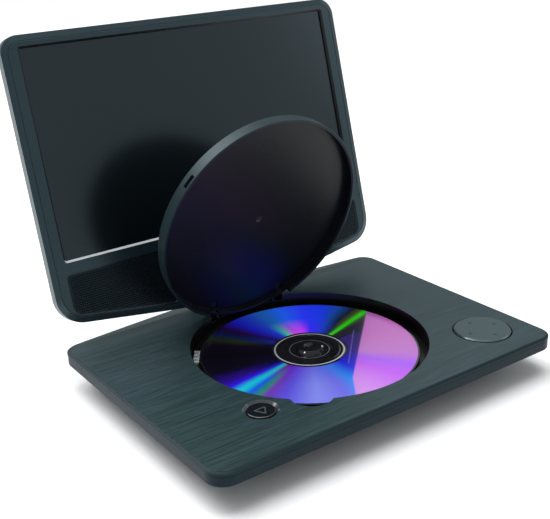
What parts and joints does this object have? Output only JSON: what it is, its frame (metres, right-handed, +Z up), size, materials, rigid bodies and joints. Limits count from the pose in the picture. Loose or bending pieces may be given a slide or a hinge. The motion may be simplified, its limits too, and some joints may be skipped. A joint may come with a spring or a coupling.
{
  "type": "portable dvd player",
  "caption": "clamshell portable disc player: flat base with round disc well and hinged round lid, wide screen with speaker grilles on a swivel and tilt hinge",
  "frame": {"origin": "on the table, at the middle of the open player's outer box", "axes": "+X to the right of someone facing the screen, +Y to the back, +Z up, symmetric in nothing but outline"},
  "size_m": [0.218, 0.2024, 0.1862],
  "materials": {
    "plate": "brushed dark slate, satin",
    "case": "fine moulded texture, satin",
    "well_black": "smooth black",
    "lid_shell": "satin grey",
    "lid_inner": "smooth dark, slightly glossy",
    "bezel": "satin slate",
    "screen_glass": "anti-glare film, semi-gloss",
    "grille": "perforated black",
    "disc_face": "data side colours",
    "hub": "satin black",
    "steel": "bright",
    "chrome": "polished",
    "rubber": "matt",
    "board": "solder mask",
    "cell": "shrink wrap",
    "button": "satin",
    "pad": "brushed satin",
    "light_plastic": "moulded pale grey",
    "lens": "coated"
  },
  "bodies": {
    "base": {"base_top_cover": "plate", "base_bottom_case": "case", "disc_well": "well_black", "rubber_feet": "rubber", "case_screws": "steel", "headphone_jack": "hub", "av_jack": "hub", "dc_jack": "hub", "switch_body": "hub", "volume_pot": "hub", "main_board": "board", "battery_pack": "cell", "play_key_board": "board", "nav_key_board": "board", "lid_rest": "light_plastic", "lid_hinge_pins": "steel", "drive_chassis": "steel", "guide_rods": "steel", "rubber_dampers": "rubber", "drive_screws": "steel", "spindle_motor": "steel", "sled_motor": "steel", "swivel_bush": "hub"},
    "spindle": {"turntable_hub": "hub", "chuck_balls": "chrome", "disc": "disc_face"},
    "pickup": {"pickup_sled": "hub", "objective_lens": "lens"},
    "lead_screw": {"lead_screw": "steel"},
    "play_button": {"play_button": "button"},
    "nav_pad": {"nav_pad": "pad"},
    "power_switch": {"power_switch": "button"},
    "volume_wheel": {"volume_wheel": "button"},
    "lid": {"disc_lid": "lid_shell", "lid_liner": "lid_inner"},
    "swivel": {"swivel_yoke": "case", "swivel_nut": "steel", "hinge_pin": "steel"},
    "screen": {"screen_bezel": "bezel", "screen_back_cover": "case", "screen_screws": "steel", "lcd_panel": "screen_glass", "lcd_backlight": "hub", "display_board": "board", "speaker_grille_left": "grille", "speaker_grille_right": "grille", "speaker_left": "hub", "speaker_right": "hub", "hinge_barrel": "case", "hinge_bracket": "steel"}
  },
  "joints": [
    {"name": "screen_swivel", "type": "hinge", "parent": "base", "child": "swivel", "pos_m": [0, 0.0579, 0.022], "axis": [0, 0, 1], "range_deg": [-12, 12]},
    {"name": "screen_tilt", "type": "hinge", "parent": "swivel", "child": "screen", "pos_m": [0, 0.0579, 0.0304], "axis": [1, 0, 0], "range_deg": [-12, 104.5]},
    {"name": "lid_hinge", "type": "hinge", "parent": "base", "child": "lid", "pos_m": [0.0015, 0.0415, 0.0203], "axis": [1, 0, 0], "range_deg": [-18, 73.5]},
    {"name": "disc_spin", "type": "hinge", "parent": "base", "child": "spindle", "pos_m": [0.0015, -0.0214, 0.0164], "axis": [0, 0, 1], "continuous": true},
    {"name": "pickup_slide", "type": "slide", "parent": "base", "child": "pickup", "axis": [1, 0, 0], "range_m": [0, 0.034]},
    {"name": "lead_screw_spin", "type": "hinge", "parent": "base", "child": "lead_screw", "pos_m": [0.0215, -0.0434, 0.0076], "axis": [1, 0, 0], "range_deg": [-5, 4085]},
    {"name": "play_press", "type": "slide", "parent": "base", "child": "play_button", "axis": [0, 0, -1], "range_m": [0, 0.0008], "stiffness_N_per_m": 250, "springref_m": -0.0003},
    {"name": "nav_press", "type": "slide", "parent": "base", "child": "nav_pad", "axis": [0, 0, -1], "range_m": [0, 0.0008], "stiffness_N_per_m": 250, "springref_m": -0.0004},
    {"name": "power_slide", "type": "slide", "parent": "base", "child": "power_switch", "axis": [0, 1, 0], "range_m": [0, 0.004]},
    {"name": "volume_turn", "type": "hinge", "parent": "base", "child": "volume_wheel", "pos_m": [0.1028, -0.0434, 0.0172], "axis": [0, 0, 1], "range_deg": [-150, 150]}
  ],
  "couplings": [
    {"joint": "lid_hinge", "follows": "screen_tilt", "ratio": 0.69856},
    {"joint": "lead_screw_spin", "follows": "pickup_slide", "rad_per_m": 2094.4}
  ]
}
